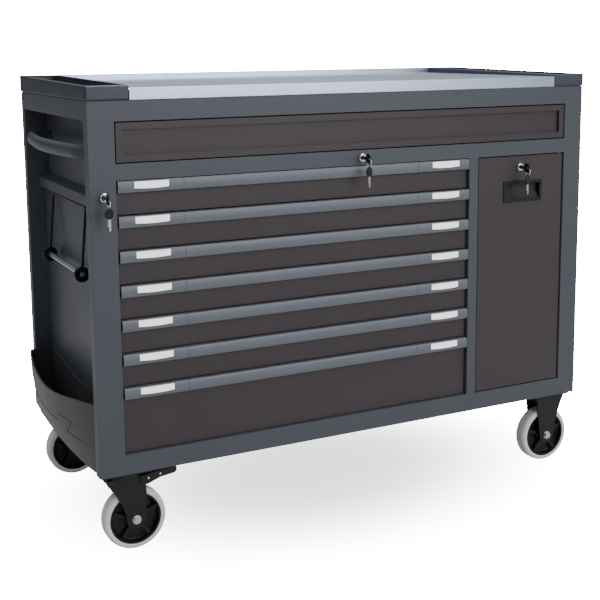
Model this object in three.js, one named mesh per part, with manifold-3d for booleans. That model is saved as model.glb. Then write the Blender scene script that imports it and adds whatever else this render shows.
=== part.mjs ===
// A rolling tool chest: a sheet-steel cabinet on four castors, with one full-width drawer over a bank of
// seven drawers and a side cupboard, a stainless worktop between two plastic trays, and a push handle,
// a paper-roll holder and a tool pocket on its left side.
// Millimetres, +Z up. Pieces are placed from the cabinet's front left corner on the floor (X to the right,
// Y to the back), and the whole chest is then centred over the origin.
import * as THREE from "three";
import { mergeVertices } from "three/addons/utils/BufferGeometryUtils.js";
import Module from "manifold-3d";

const wasm = await Module();
wasm.setup();

// ---------------------------------------------------------------- driving dimensions

const gap = 0.3; // between pieces that touch
const sheet = 2; // folded steel sheet
const seam = 2.5; // around a drawer front or the door

const castor = { overWheel: 42, fromLeft: 9, fromRight: 16.5, fromFront: 2 };
const plate = { length: 105, width: 80, thickness: 3, hole: 8.5, holeInset: 10 };
const wheel = { diameter: 138, width: 36, tyre: 12.5, trail: 20, sideGap: 3, facets: 28 };
const hub = { web: 8, boss: 30, bossProud: 2, rim: 5, rimFoot: 7, spokes: 5, spokeWidth: 5 };
const tread = { flat: 8, shoulder: 1.2, bevel: 3, sideWall: 5 };
const fork = { thickness: 3, crownDrop: 15, raceDiameter: 74, fixedShift: 10 };
const leg = { top: 84, end: 21, shoulder: 10 };
const waist = { out: 5, rise: 44 };
const axle = { diameter: 10, headDiameter: 17, headHeight: 6 };

const post = { left: 56, middle: 25.5, right: 52.5, depth: 28 };
const bay = { drawers: 859.5, cupboard: 255.5 };
const rail = { top: 42, middle: 34, bottom: 43 };
const panHeight = 33;
const wideOpening = 85;
const pitch = 72;
const smallDrawers = 6;
const deepDrawer = 144;
const depth = 562;

const recess = { lower: 41, handle: 53, top: 40 };
const ledge = { drop: 204, height: 22, reach: 27, crease: 2, rise: 9, undercut: 3 };

const drawer = { length: 500, slideWidth: 13, headroom: 12, wall: 1.5, footRise: 4 };
const front = { setback: 9, pan: 14, fold: 9, wideSetback: 1.5, ring: 14, panelDrop: 7 };
const pull = { height: 24, proud: 3, wall: 2, fingerDepth: 11, lip: 4, clear: 2 };
const slideRail = { height: 36, width: 10.5, drop: 5 };
const upright = { width: 30, web: 2.4, proud: 1.5, overTop: 6, foot: 8 };

const worktop = { height: 24.5, sheet: 1.5, overhang: 1, upstand: 14.5, upstandWidth: 13 };
const tray = { width: 90.5, overhang: 2, front: 30, back: 39, rim: 7, floor: 5, rib: 5, ribDrop: 12 };

const door = { setback: 2, thickness: 18, wall: 1.5, hingeWall: 2.5, hingeRound: 3 };
const rod = { diameter: 6, inset: 7.5 };
const cup = { fromDoorLeft: 72, fromTop: 62, width: 115, height: 52, depth: 14, wall: 2, bezel: 5 };
const shelf = { level: 305, thickness: 18, setback: 30 };

const lock = { diameter: 19, proud: 6, chamfer: 1.5, bodyDiameter: 15, bodyLength: 22 };
const key = { slotDepth: 2, shank: 10, bow: 22, thickness: 3, stem: 8, hole: 6.4, holeInset: 7 };
const lockDrop = { left: 32, door: 29 };
const lockFromPost = { left: 2, door: 123 };

const handle = { drop: 121, height: 31, section: 20, standOff: 6, bow: 24, endInset: 34, bend: 12 };
const roll = { pivotX: 33, pivotDrop: 5, discX: 19, discDrop: 144, front: 148, back: 419 };
const rollRod = { wire: 6, disc: 34, discWidth: 9, spindle: 11 };
const pocket = { height: 150, bulge: 40, backBulge: 17, wall: 3, dip: 20, endInset: 4 };
const pocketForm = { foot: 0.3, fullness: 0.7, lean: 0.2, flare: 1.2 };
const pedal = { from: 36, to: 112, width: 34, thickness: 6, drop: 25, tip: 30, tipRise: 8 };

// ---------------------------------------------------------------- derived places

const width = post.left + bay.drawers + post.middle + bay.cupboard + post.right;
const bodyBottom = wheel.diameter + castor.overWheel;
const drawersTop = bodyBottom + rail.bottom + smallDrawers * pitch + deepDrawer;
const wideBottom = drawersTop + rail.middle;
const bodyTop = wideBottom + wideOpening + rail.top;
const bayBottom = bodyBottom + rail.bottom;
const drawersRight = post.left + bay.drawers;
const cupboardLeft = drawersRight + post.middle;
const cupboardRight = width - post.right;
const ledgeTop = bodyTop - ledge.drop;
const rollPivotZ = ledgeTop - ledge.height - roll.pivotDrop;
const rollDiscZ = rollPivotZ - roll.discDrop;
const locks = {
  left: { x: post.left / 2 + lockFromPost.left, z: drawersTop - lockDrop.left },
  middle: { x: width / 2, z: drawersTop + rail.middle / 2 },
  door: { x: cupboardLeft + lockFromPost.door, z: drawersTop - lockDrop.door },
};
const sideFront = post.depth + gap;
const sideBack = depth - post.depth - gap;

// ---------------------------------------------------------------- solids

// A closed three.js geometry as a manifold-3d solid.
function solid(geometry) {
  const bare = geometry.index ? geometry.toNonIndexed() : geometry.clone();
  bare.deleteAttribute("normal");
  bare.deleteAttribute("uv");
  const merged = mergeVertices(bare, 1e-4);
  return new wasm.Manifold(
    new wasm.Mesh({
      numProp: 3,
      vertProperties: new Float32Array(merged.attributes.position.array),
      triVerts: new Uint32Array(merged.index.array),
    }),
  );
}

function geometryOf(made) {
  const mesh = made.getMesh();
  const geometry = new THREE.BufferGeometry();
  const points = new THREE.BufferAttribute(new Float32Array(mesh.vertProperties), 3);
  geometry.setAttribute("position", points);
  geometry.setIndex(new THREE.BufferAttribute(new Uint32Array(mesh.triVerts), 1));
  const flat = geometry.toNonIndexed();
  flat.computeVertexNormals();
  return flat;
}

function joined(...solids) {
  return solids.reduce((whole, next) => whole.add(next));
}

function cut(from, ...solids) {
  return solids.reduce((whole, next) => whole.subtract(next), from);
}

// A box between two corners, given as ranges along X, Y and Z.
function block([x0, x1], [y0, y1], [z0, z1]) {
  const made = new THREE.BoxGeometry(x1 - x0, y1 - y0, z1 - z0);
  return solid(made.translate((x0 + x1) / 2, (y0 + y1) / 2, (z0 + z1) / 2));
}

const axes = {
  x: new THREE.Vector3(1, 0, 0),
  y: new THREE.Vector3(0, 1, 0),
  z: new THREE.Vector3(0, 0, 1),
};
const turns = {
  xy: new THREE.Matrix4(),
  xz: new THREE.Matrix4().makeBasis(axes.x, axes.z, axes.y.clone().negate()),
  yz: new THREE.Matrix4().makeBasis(axes.y, axes.z, axes.x),
};

// A flat outline, drawn in the named plane, pushed along the third axis between two places.
function prism(plane, outline, from, to, curveSegments = 8) {
  const shape = outline instanceof THREE.Shape ? outline : shapeOf(outline);
  const made = new THREE.ExtrudeGeometry(shape, {
    depth: to - from,
    bevelEnabled: false,
    curveSegments,
  });
  made.applyMatrix4(turns[plane]);
  const start = plane === "xz" ? to : from;
  const along = { xy: axes.z, xz: axes.y, yz: axes.x }[plane];
  return solid(made.translate(along.x * start, along.y * start, along.z * start));
}

function shapeOf(points) {
  return new THREE.Shape(points.map(([a, b]) => new THREE.Vector2(a, b)));
}

// The cross-section of a folded sheet: the line of its outer faces, and the same line one thickness to
// the left of the way it runs.
function foldedOutline(line, thickness) {
  const points = line.map(([a, b]) => new THREE.Vector2(a, b));
  const normals = points.slice(1).map((p, i) => {
    const along = p.clone().sub(points[i]).normalize();
    return new THREE.Vector2(-along.y, along.x);
  });
  const inner = points.map((p, i) => {
    const before = normals[Math.max(i - 1, 0)];
    const after = normals[Math.min(i, normals.length - 1)];
    const middle = before.clone().add(after).normalize();
    return p.clone().addScaledVector(middle, thickness / middle.dot(after));
  });
  return new THREE.Shape([...points, ...inner.reverse()]);
}

// A solid of revolution from [radius, place] points, about an axis along X, Y or Z through a point.
function turned(profile, axis, [x, y, z], segments = 32) {
  const area = profile.reduce((sum, [r, h], i) => {
    const [r2, h2] = profile[(i + 1) % profile.length];
    return sum + r * h2 - r2 * h;
  }, 0);
  const ordered = area > 0 ? profile : [...profile].reverse();
  const points = ordered.map(([r, h]) => new THREE.Vector2(r, h));
  if (profile.every(([r]) => r > 0)) points.push(points[0].clone());
  const made = new THREE.LatheGeometry(points, segments);
  made.applyQuaternion(new THREE.Quaternion().setFromUnitVectors(axes.y, axes[axis]));
  return solid(made.translate(x, y, z));
}

function cylinder(axis, diameter, from, to, centre, segments = 24) {
  const r = diameter / 2;
  const outline = [
    [0, from],
    [r, from],
    [r, to],
    [0, to],
  ];
  return turned(outline, axis, centre, segments);
}

// ---------------------------------------------------------------- finishes

function finish(color, roughness, metalness) {
  return new THREE.MeshStandardMaterial({ color, roughness, metalness });
}

const finishes = {
  bodyPaint: finish(0x585b61, 0.5, 0.3),
  frontPaint: finish(0x4b4749, 0.55, 0.2),
  pullPlastic: finish(0x6c727a, 0.5, 0.1),
  steel: finish(0xb9c2cc, 0.25, 1),
  trayPlastic: finish(0x343a48, 0.55, 0),
  zinc: finish(0xc8ccd0, 0.35, 1),
  chrome: finish(0xe6e8ea, 0.1, 1),
  blackPaint: finish(0x141414, 0.4, 0.3),
  blackPlastic: finish(0x1a1a1c, 0.5, 0),
  tyre: finish(0xc6c8cc, 0.7, 0),
  pocketPlastic: finish(0x4a4c4f, 0.6, 0),
};

const chest = new THREE.Group();

function add(name, made, material) {
  const mesh = new THREE.Mesh(geometryOf(made), material);
  mesh.name = name;
  chest.add(mesh);
}

// ---------------------------------------------------------------- cabinet shell

// The welded front frame: posts and rails folded as channels that are open at the back.
function frontFrame() {
  const openings = [
    [[post.left, cupboardRight], [wideBottom, wideBottom + wideOpening]],
    [[post.left, drawersRight], [bayBottom, drawersTop]],
    [[cupboardLeft, cupboardRight], [bayBottom, drawersTop]],
  ];
  const hollows = [
    [[0, post.left], [bodyBottom, bodyTop]],
    [[drawersRight, cupboardLeft], [bayBottom - sheet * 2, drawersTop + sheet * 2]],
    [[cupboardRight, width], [bodyBottom, bodyTop]],
    [[0, width], [bodyTop - rail.top, bodyTop]],
    [[0, width], [drawersTop, wideBottom]],
    [[0, width], [bodyBottom, bayBottom]],
  ];
  const through = [-1, post.depth + 1];
  const whole = block([0, width], [0, post.depth], [bodyBottom, bodyTop]);
  const windows = openings.map(([x, z]) => block(x, through, z));
  const channels = hollows.map(([x, z]) =>
    block([x[0] + sheet, x[1] - sheet], [sheet, through[1]], [z[0] + sheet, z[1] - sheet]),
  );
  const holes = [locks.left, locks.middle].map((at) => lockHole(at, through));
  return cut(whole, ...windows, ...channels, ...holes);
}

function lockHole({ x, z }, [from, to]) {
  return cylinder("y", lock.bodyDiameter + 2 * gap, from, to, [x, 0, z]);
}

// The left side: a band at the top, a deep recess for the push handle, a sloping ledge under it and a
// shallower recess below. The top flange carries the tray.
function leftSide() {
  const line = [
    [tray.width - tray.overhang - sheet, bodyTop],
    [0, bodyTop],
    [0, bodyTop - recess.top],
    [recess.handle, bodyTop - recess.top],
    [recess.handle, ledgeTop + ledge.rise],
    [ledge.reach + ledge.crease, ledgeTop],
    [ledge.reach, ledgeTop - ledge.height],
    [recess.lower, ledgeTop - ledge.height - ledge.undercut],
    [recess.lower, bodyBottom],
  ];
  return prism("xz", foldedOutline(line, sheet), sideFront, sideBack);
}

// The right side: the same band, and one flat recessed panel.
function rightSide() {
  const line = [
    [width - recess.lower, bodyBottom],
    [width - recess.lower, bodyTop - recess.top],
    [width, bodyTop - recess.top],
    [width, bodyTop],
    [width - tray.width + tray.overhang + sheet, bodyTop],
  ];
  return prism("xz", foldedOutline(line, sheet), sideFront, sideBack);
}

// The back panel and the two rear posts are one sheet, folded forwards at each side.
function backPanel() {
  const line = [
    [post.left, depth - post.depth],
    [0, depth - post.depth],
    [0, depth],
    [width, depth],
    [width, depth - post.depth],
    [width - post.right, depth - post.depth],
  ];
  return prism("xy", foldedOutline(line.reverse(), sheet), bodyBottom, bodyTop);
}

function basePan() {
  const x = [recess.lower + sheet + gap, width - recess.lower - sheet - gap];
  const y = [sideFront, sideBack];
  const z = [bodyBottom, bodyBottom + panHeight];
  const inside = block(
    [x[0] + sheet, x[1] - sheet],
    [y[0] + sheet, y[1] - sheet],
    [z[0] + sheet, z[1] + 1],
  );
  return cut(block(x, y, z), inside);
}

// Between the drawers and the cupboard, a sheet with a flange at its front and back.
const dividerX = drawersRight + post.middle / 2;
const inPan = sheet + gap;

function dividerWall() {
  const z = [bodyBottom + sheet + gap, wideBottom - 2 * sheet];
  const line = [
    [cupboardLeft - sheet, sideFront + inPan],
    [dividerX, sideFront + inPan],
    [dividerX, sideBack - inPan],
    [cupboardLeft - sheet, sideBack - inPan],
  ];
  return prism("xy", foldedOutline(line.reverse(), sheet), z[0], z[1]);
}

// ---------------------------------------------------------------- top

// One stainless sheet: a front edge, the flat top, an upstand along the back and the back edge.
function worktopSheet() {
  const topZ = bodyTop + gap + worktop.height;
  const back = depth + worktop.overhang;
  const line = [
    [-worktop.overhang, bodyTop + gap],
    [-worktop.overhang, topZ],
    [back - worktop.upstandWidth, topZ],
    [back - worktop.upstandWidth, topZ + worktop.upstand],
    [back, topZ + worktop.upstand],
    [back, bodyTop + gap],
  ];
  const inner = tray.width - tray.overhang + gap;
  const outline = foldedOutline(line.reverse(), worktop.sheet);
  return prism("yz", outline, inner, width - inner);
}

// A moulded end tray: its rim rises to the back, and a low rib parts its well in two.
function endTray(x0) {
  const [y0, y1] = [-tray.overhang, depth + tray.overhang];
  const z0 = bodyTop + gap;
  const side = [
    [y0, z0],
    [y1, z0],
    [y1, z0 + tray.back],
    [y0, z0 + tray.front],
  ];
  const whole = prism("yz", side, x0, x0 + tray.width);
  const middle = (y0 + y1) / 2;
  const wells = [
    [y0 + tray.rim, middle - tray.rib / 2],
    [middle + tray.rib / 2, y1 - tray.rim],
  ];
  const x = [x0 + tray.rim, x0 + tray.width - tray.rim];
  const above = z0 + tray.back + 1;
  const cuts = wells.map((y) => block(x, y, [z0 + tray.floor, above]));
  const overRib = block(x, [middle - tray.rib, middle + tray.rib], [z0 + tray.front - tray.ribDrop, above]);
  return cut(whole, ...cuts, overRib);
}

// ---------------------------------------------------------------- left side fittings

// An oval bar, bowed in plan, whose ends turn in to the back of the recess.
function pushHandle() {
  const half = handle.height / 2;
  const z = bodyTop - handle.drop + half;
  const middle = (sideFront + sideBack) / 2;
  const reach = (sideBack - sideFront) / 2 - handle.endInset;
  const bowed = (t) => handle.standOff - handle.bow * Math.cos((t * Math.PI) / 2);
  const points = [new THREE.Vector3(recess.handle - gap, middle - reach, z)];
  const steps = 8;
  for (let i = 0; i <= steps; i++) {
    const t = -1 + (2 * i) / steps;
    points.push(new THREE.Vector3(bowed(t), middle + t * (reach - handle.bend), z));
  }
  points.push(new THREE.Vector3(recess.handle - gap, middle + reach, z));
  const path = new THREE.CatmullRomCurve3(points, false, "centripetal");
  const section = new THREE.Shape();
  section.absellipse(0, 0, half, handle.section / 2, 0, Math.PI * 2);
  const bar = solid(
    new THREE.ExtrudeGeometry(section, {
      extrudePath: path,
      steps: 24,
      curveSegments: 6,
      bevelEnabled: false,
    }),
  );
  const wallX = [recess.handle - gap, recess.handle + handle.section];
  const wallSide = block(wallX, [0, depth], [z - handle.height, z + handle.height]);
  return cut(bar, wallSide);
}

// A U of bent wire whose ends carry round end discs. It swings on its top run, under the ledge.
function rollBail() {
  const { pivotX, discX } = roll;
  const length = Math.hypot(discX - pivotX, roll.discDrop);
  const lean = Math.atan2(discX - pivotX, roll.discDrop);
  const arm = (y) => {
    const made = new THREE.CylinderGeometry(rollRod.wire / 2, rollRod.wire / 2, length, 12);
    made.rotateX(Math.PI / 2).rotateY(-lean);
    return solid(made.translate((pivotX + discX) / 2, y, (rollPivotZ + rollDiscZ) / 2));
  };
  const disc = (y) =>
    cylinder("y", rollRod.disc, -rollRod.discWidth / 2, rollRod.discWidth / 2, [discX, y, rollDiscZ], 20);
  const overlap = rollRod.wire / 2;
  const top = cylinder(
    "y",
    rollRod.wire,
    roll.front - overlap,
    roll.back + overlap,
    [pivotX, 0, rollPivotZ],
    12,
  );
  const bore = cylinder("y", rollRod.spindle + 2 * gap, 0, depth, [discX, 0, rollDiscZ], 16);
  const whole = joined(top, arm(roll.front), arm(roll.back), disc(roll.front), disc(roll.back));
  return cut(whole, bore);
}

function rollSpindle() {
  const reach = rollRod.discWidth / 2;
  const [y0, y1] = [roll.front - reach, roll.back + reach];
  return cylinder("y", rollRod.spindle, y0, y1, [roll.discX, 0, rollDiscZ], 16);
}

// A solid between a flat back and a bulging face, over a grid of places along Y and up.
function bulgedSolid({ from, to, bottom, top, back, face }, steps = 14, levels = 3) {
  const points = [];
  const indices = [];
  const at = (i, j, side) => (i * (levels + 1) + j) * 2 + side;
  for (let i = 0; i <= steps; i++) {
    const y = from + ((to - from) * i) / steps;
    for (let j = 0; j <= levels; j++) {
      const share = j / levels;
      const z = bottom + (top(y) - bottom) * share;
      points.push(face(y, share), y, z, back, y, z);
    }
  }
  const quad = (a, b, c, d) => indices.push(a, b, c, a, c, d);
  for (let i = 0; i < steps; i++) {
    for (let j = 0; j < levels; j++) {
      quad(at(i, j, 0), at(i, j + 1, 0), at(i + 1, j + 1, 0), at(i + 1, j, 0));
      quad(at(i, j, 1), at(i + 1, j, 1), at(i + 1, j + 1, 1), at(i, j + 1, 1));
    }
    quad(at(i, 0, 0), at(i + 1, 0, 0), at(i + 1, 0, 1), at(i, 0, 1));
    quad(at(i, levels, 0), at(i, levels, 1), at(i + 1, levels, 1), at(i + 1, levels, 0));
  }
  for (let j = 0; j < levels; j++) {
    quad(at(0, j, 0), at(0, j, 1), at(0, j + 1, 1), at(0, j + 1, 0));
    quad(at(steps, j, 0), at(steps, j + 1, 0), at(steps, j + 1, 1), at(steps, j, 1));
  }
  const made = new THREE.BufferGeometry();
  made.setAttribute("position", new THREE.Float32BufferAttribute(points, 3));
  made.setIndex(indices);
  return solid(made);
}

// The moulded tool pocket at the foot of the side: its wall bows out, narrows to the bottom and dips in
// the middle of its top edge.
function sidePocket() {
  const [y0, y1] = [sideFront + pocket.endInset, sideBack - pocket.endInset];
  const share = (y) => (y - y0) / (y1 - y0);
  const bow = (y) => {
    const s = share(y);
    const arch = Math.sin(Math.PI * s) ** pocketForm.fullness * (1 - pocketForm.lean * s);
    return pocket.bulge * arch + pocket.backBulge * s;
  };
  const topEdge = (y) => bodyBottom + pocket.height - pocket.dip * Math.sin(Math.PI * share(y)) ** 2;
  const { foot, flare } = pocketForm;
  const narrowing = (level) => foot + (1 - foot) * Math.sin((level * Math.PI) / 2);
  const outside = bulgedSolid({
    from: y0,
    to: y1,
    bottom: bodyBottom,
    top: topEdge,
    back: recess.lower - gap,
    face: (y, level) => -bow(y) * narrowing(level) + pocket.endInset,
  });
  const inside = bulgedSolid({
    from: y0 + pocket.wall,
    to: y1 - pocket.wall,
    bottom: bodyBottom + pocket.wall,
    top: (y) => topEdge(y) + pocket.height * (flare - 1),
    back: recess.lower - gap - pocket.wall,
    face: (y, level) => -bow(y) * narrowing(Math.min(level * flare, 1)) + pocket.endInset + pocket.wall,
  });
  return cut(outside, inside);
}

// ---------------------------------------------------------------- drawers

// A drawer box of folded sheet behind its front. The front is a shallow pan, and under the pull it steps
// back to leave room for the fingers. A strip along the foot ties the front to the box.
function drawerSolid(z0, height) {
  const [fx0, fx1] = [post.left + seam, drawersRight - seam];
  const y0 = front.setback;
  const top = z0 + height;
  const fold = top - pull.height - pull.clear;
  const line = [
    [y0 + front.pan, z0],
    [y0, z0],
    [y0, fold],
    [y0 + pull.fingerDepth, fold + front.fold],
    [y0 + pull.fingerDepth, top - pull.wall - gap],
  ];
  const face = prism("yz", foldedOutline(line.reverse(), drawer.wall), fx0, fx1);
  const x = [post.left + drawer.slideWidth + gap, drawersRight - drawer.slideWidth - gap];
  const boxFront = y0 + pull.fingerDepth;
  const foot = z0 + drawer.footRise;
  const strip = block(x, [y0 + drawer.wall / 2, boxFront + drawer.wall / 2], [foot, foot + drawer.wall]);
  return joined(face, strip, drawerBox(x, boxFront, foot, top - drawer.headroom));
}

// The box's two sides, bottom and back. Its front wall stands just inside the front's face.
function drawerBox(x, y0, z0, z1) {
  const wall = drawer.wall;
  const y = [y0, drawer.length];
  const inside = block(
    [x[0] + wall, x[1] - wall],
    [y[0] + wall, y[1] - wall],
    [z0 + wall, z1 + 1],
  );
  return cut(block(x, y, [z0, z1]), inside);
}

// The wide top drawer: a pressed front with a frame round a set-back panel, and a full-width box.
function wideDrawer() {
  const [x0, x1] = [post.left + seam, cupboardRight - seam];
  const [z0, z1] = [wideBottom + seam, wideBottom + wideOpening - seam];
  const y0 = front.wideSetback;
  const wall = drawer.wall;
  const pan = cut(
    block([x0, x1], [y0, y0 + front.pan], [z0, z1]),
    block([x0 + wall, x1 - wall], [y0 + front.panelDrop + wall, y0 + front.pan + 1], [z0 + wall, z1 - wall]),
    block(
      [x0 + front.ring, x1 - front.ring],
      [y0 - 1, y0 + front.panelDrop],
      [z0 + front.ring, z1 - front.ring],
    ),
  );
  const x = [x0 + drawer.slideWidth - seam + gap, x1 - drawer.slideWidth + seam - gap];
  const boxFront = y0 + front.panelDrop + wall / 3;
  return joined(pan, drawerBox(x, boxFront, z0 + drawer.footRise, z1 - drawer.headroom));
}

// A full-width grip: a top flange that rests on the front and a face that hangs over the finger space.
function drawerPull(z0, height) {
  const top = z0 + height;
  const back = front.setback + pull.fingerDepth + drawer.wall;
  const line = [
    [-pull.proud + pull.lip, top - pull.height],
    [-pull.proud, top - pull.height],
    [-pull.proud, top],
    [back, top],
  ];
  const outline = foldedOutline(line.reverse(), pull.wall);
  return prism("yz", outline, post.left + seam, drawersRight - seam);
}

// Drawer heights from the top: six shallow ones and a deep one, each with a seam to its neighbour.
function bankOfDrawers() {
  const fronts = [];
  let top = drawersTop;
  for (let i = 0; i <= smallDrawers; i++) {
    const tall = i < smallDrawers ? pitch : deepDrawer;
    fronts.push({ z: top - tall + seam / 2, height: tall - seam });
    top -= tall;
  }
  return fronts;
}

// The fixed members of the drawer slides, one under another on two uprights.
function slideRack(inner, outer, levels, bottom) {
  const towards = Math.sign(inner - outer);
  const half = slideRail.height / 2;
  const railX = [inner, inner + towards * slideRail.width].sort((a, b) => a - b);
  const uprightX = [outer, inner + towards * upright.proud].sort((a, b) => a - b);
  const webX = [inner - upright.web / 2, inner + upright.web / 2];
  const z = [bottom, Math.max(...levels) + half + upright.overTop];
  const uprights = [sideFront + gap, sideBack - gap - upright.width].map((y) => {
    const whole = block(uprightX, [y, y + upright.width], z);
    const middle = [y + sheet, y + upright.width - sheet];
    const hollow = block([uprightX[0] - 1, uprightX[1] + 1], middle, [z[0] - 1, z[1] + 1]);
    return joined(cut(whole, hollow), block(webX, [y, y + upright.width], z));
  });
  const rails = levels.map((level) =>
    block(railX, [sideFront + gap, sideBack - gap], [level - half, level + half]),
  );
  return joined(...uprights, ...rails);
}

// ---------------------------------------------------------------- cupboard

const doorX = [cupboardLeft + seam, cupboardRight - seam];
const doorZ = [bayBottom + seam, drawersTop - seam];
const doorY = [door.setback, door.setback + door.thickness];
const hinge = { x: doorX[1] - rod.inset, y: door.setback + rod.inset };
const cupX = [doorX[0] + cup.fromDoorLeft, doorX[0] + cup.fromDoorLeft + cup.width];
const cupTop = drawersTop - cup.fromTop;
const cupZ = [cupTop - cup.height, cupTop];

// A pan with its open side inwards. Its hinge edge is rounded, so that it clears the post as it turns.
function doorPanel() {
  const outline = new THREE.Shape();
  const radius = door.hingeRound;
  outline.moveTo(doorX[0], doorY[0]);
  outline.lineTo(doorX[1] - radius, doorY[0]);
  outline.absarc(doorX[1] - radius, doorY[0] + radius, radius, -Math.PI / 2, 0, false);
  outline.lineTo(doorX[1], doorY[1]);
  outline.lineTo(doorX[0], doorY[1]);
  const whole = prism("xy", outline, doorZ[0], doorZ[1], 6);
  const wall = door.wall;
  const inside = block(
    [doorX[0] + wall, doorX[1] - door.hingeWall],
    [doorY[0] + wall, doorY[1] + 1],
    [doorZ[0] + wall, doorZ[1] - wall],
  );
  const window = block(
    [cupX[0] + cup.bezel, cupX[1] - cup.bezel],
    [-1, doorY[1]],
    [cupZ[0] + cup.bezel, cupZ[1] - cup.bezel],
  );
  const rodHole = cylinder("z", rod.diameter + 2 * gap, 0, bodyTop, [hinge.x, hinge.y, 0]);
  return cut(whole, inside, window, rodHole, lockHole(locks.door, [-1, doorY[1] + 1]));
}

// A rod that the door turns on, held between the rails.
function hingeRod() {
  const ends = [bayBottom + gap, drawersTop - gap];
  return cylinder("z", rod.diameter, ends[0], ends[1], [hinge.x, hinge.y, 0], 16);
}

// A moulded cup: a thin bezel on the door's face, and behind it a well with a sloping floor.
function doorPull() {
  const [y0, y1] = [doorY[0] - cup.wall - gap, doorY[0] - gap];
  const well = {
    x: [cupX[0] + cup.bezel + gap, cupX[1] - cup.bezel - gap],
    z: [cupZ[0] + cup.bezel + gap, cupZ[1] - cup.bezel - gap],
  };
  const bezel = block(cupX, [y0, y1], cupZ);
  const body = block(well.x, [y1 - 0.5, y0 + cup.depth], well.z);
  const side = [
    [y0 - 1, well.z[0] + cup.wall],
    [y0 + cup.wall, well.z[0] + cup.wall],
    [y0 + cup.depth - cup.wall, (well.z[0] + well.z[1]) / 2],
    [y0 + cup.depth - cup.wall, well.z[1] - cup.wall],
    [y0 - 1, well.z[1] - cup.wall],
  ];
  const hollow = prism("yz", side, well.x[0] + cup.wall, well.x[1] - cup.wall);
  return cut(joined(bezel, body), hollow);
}

function cupboardShelf() {
  const x = [dividerX + sheet + 2 * gap, width - recess.lower - sheet - 2 * gap];
  const y = [sideFront + shelf.setback, sideBack - inPan - sheet - gap];
  const shelfTop = bodyBottom + shelf.level;
  const z = [shelfTop - shelf.thickness, shelfTop];
  const under = block([x[0] + sheet, x[1] - sheet], [y[0] + sheet, y[1] - sheet], [z[0] - 1, z[1] - sheet]);
  return cut(block(x, y, z), under);
}

// ---------------------------------------------------------------- locks

// A round face outside, a body through the sheet, and a round socket in which the key turns.
function lockBarrel({ x, z }, face) {
  const profile = [
    [0, lock.bodyLength],
    [lock.bodyDiameter / 2, lock.bodyLength],
    [lock.bodyDiameter / 2, -gap],
    [lock.diameter / 2, -gap],
    [lock.diameter / 2, -lock.proud + lock.chamfer],
    [lock.diameter / 2 - lock.chamfer, -lock.proud],
    [0, -lock.proud],
  ];
  const barrel = turned(profile, "y", [x, face, z], 20);
  const socket = key.stem + 4 * gap;
  return cut(barrel, cylinder("y", socket, -1, key.slotDepth + gap, [x, face - lock.proud, z], 16));
}

// A flat key: a stem that goes into the lock, a shank and a round bow with a hole.
function lockKey({ x, z }, face) {
  const tip = face - lock.proud + key.slotDepth;
  const outline = new THREE.Shape();
  const bowY = tip - key.slotDepth - key.shank - key.bow / 2;
  const angle = Math.asin(key.stem / key.bow);
  outline.moveTo(tip, z - key.stem / 2);
  outline.lineTo(tip, z + key.stem / 2);
  outline.absarc(bowY, z, key.bow / 2, angle, 2 * Math.PI - angle, false);
  const half = key.thickness / 2;
  const whole = prism("yz", outline, x - half, x + half, 14);
  const holeY = bowY - key.bow / 2 + key.holeInset;
  const hole = cylinder("x", key.hole, -key.bow, key.bow, [x, holeY, z], 10);
  return cut(whole, hole);
}

// ---------------------------------------------------------------- castors

const leftCastorX = castor.fromLeft + plate.length / 2;
const rightCastorX = width - castor.fromRight - plate.length / 2;
const castorPlaces = [
  { name: "front_left", x: leftCastorX, back: false, swivel: true },
  { name: "rear_left", x: leftCastorX, back: true, swivel: true },
  { name: "front_right", x: rightCastorX, back: false, swivel: false },
  { name: "rear_right", x: rightCastorX, back: true, swivel: false },
];

const plateTop = bodyBottom - gap;
const plateBottom = plateTop - plate.thickness;
const crownTop = bodyBottom - fork.crownDrop;
const legInside = wheel.width / 2 + wheel.sideGap;
const axleZ = wheel.diameter / 2;
const hubDiameter = wheel.diameter - 2 * wheel.tyre;

function castorPlate(x, y) {
  const [halfX, halfY] = [plate.length / 2, plate.width / 2];
  const flat = block([x - halfX, x + halfX], [y - halfY, y + halfY], [plateBottom, plateTop]);
  const holeAt = (i, j) => {
    const at = [x + i * (halfX - plate.holeInset), y + j * (halfY - plate.holeInset), 0];
    return cylinder("z", plate.hole, plateBottom - 1, plateTop + 1, at, 8);
  };
  return cut(flat, holeAt(-1, -1), holeAt(-1, 1), holeAt(1, -1), holeAt(1, 1));
}

// One side of a fork: wide under the crown, tapering to a round end about the axle.
function forkLeg(crownX, wheelX, y, top) {
  const r = leg.end;
  const half = leg.top / 2;
  const outline = new THREE.Shape();
  outline.moveTo(crownX + half, top);
  outline.lineTo(crownX + half, top - leg.shoulder);
  outline.quadraticCurveTo(wheelX + r + waist.out, axleZ + waist.rise, wheelX + r, axleZ);
  outline.absarc(wheelX, axleZ, r, 0, Math.PI, true);
  outline.quadraticCurveTo(wheelX - r - waist.out, axleZ + waist.rise, crownX - half, top - leg.shoulder);
  outline.lineTo(crownX - half, top);
  return prism("xz", outline, y, y + fork.thickness, 6);
}

// The fork of one castor. A swivel fork carries half of the ball race; a fixed one is its own plate.
function castorFork(x, y, wheelX, swivel) {
  const top = swivel ? crownTop : plateTop;
  const half = leg.top / 2;
  const outside = legInside + fork.thickness;
  const legX = swivel ? x : x + fork.fixedShift;
  const crown = block([legX - half, legX + half], [y - outside, y + outside], [top - fork.thickness, top]);
  const legs = [y - outside, y + legInside].map((start) => forkLeg(legX, wheelX, start, top));
  const head = swivel
    ? cylinder("z", fork.raceDiameter, top - 0.5, plateBottom - gap, [x, y, 0], 28)
    : castorPlate(x, y);
  const bore = cylinder("y", axle.diameter + 2 * gap, -plate.width, plate.width, [wheelX, y, axleZ], 16);
  return cut(joined(crown, ...legs, head), bore);
}

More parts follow.
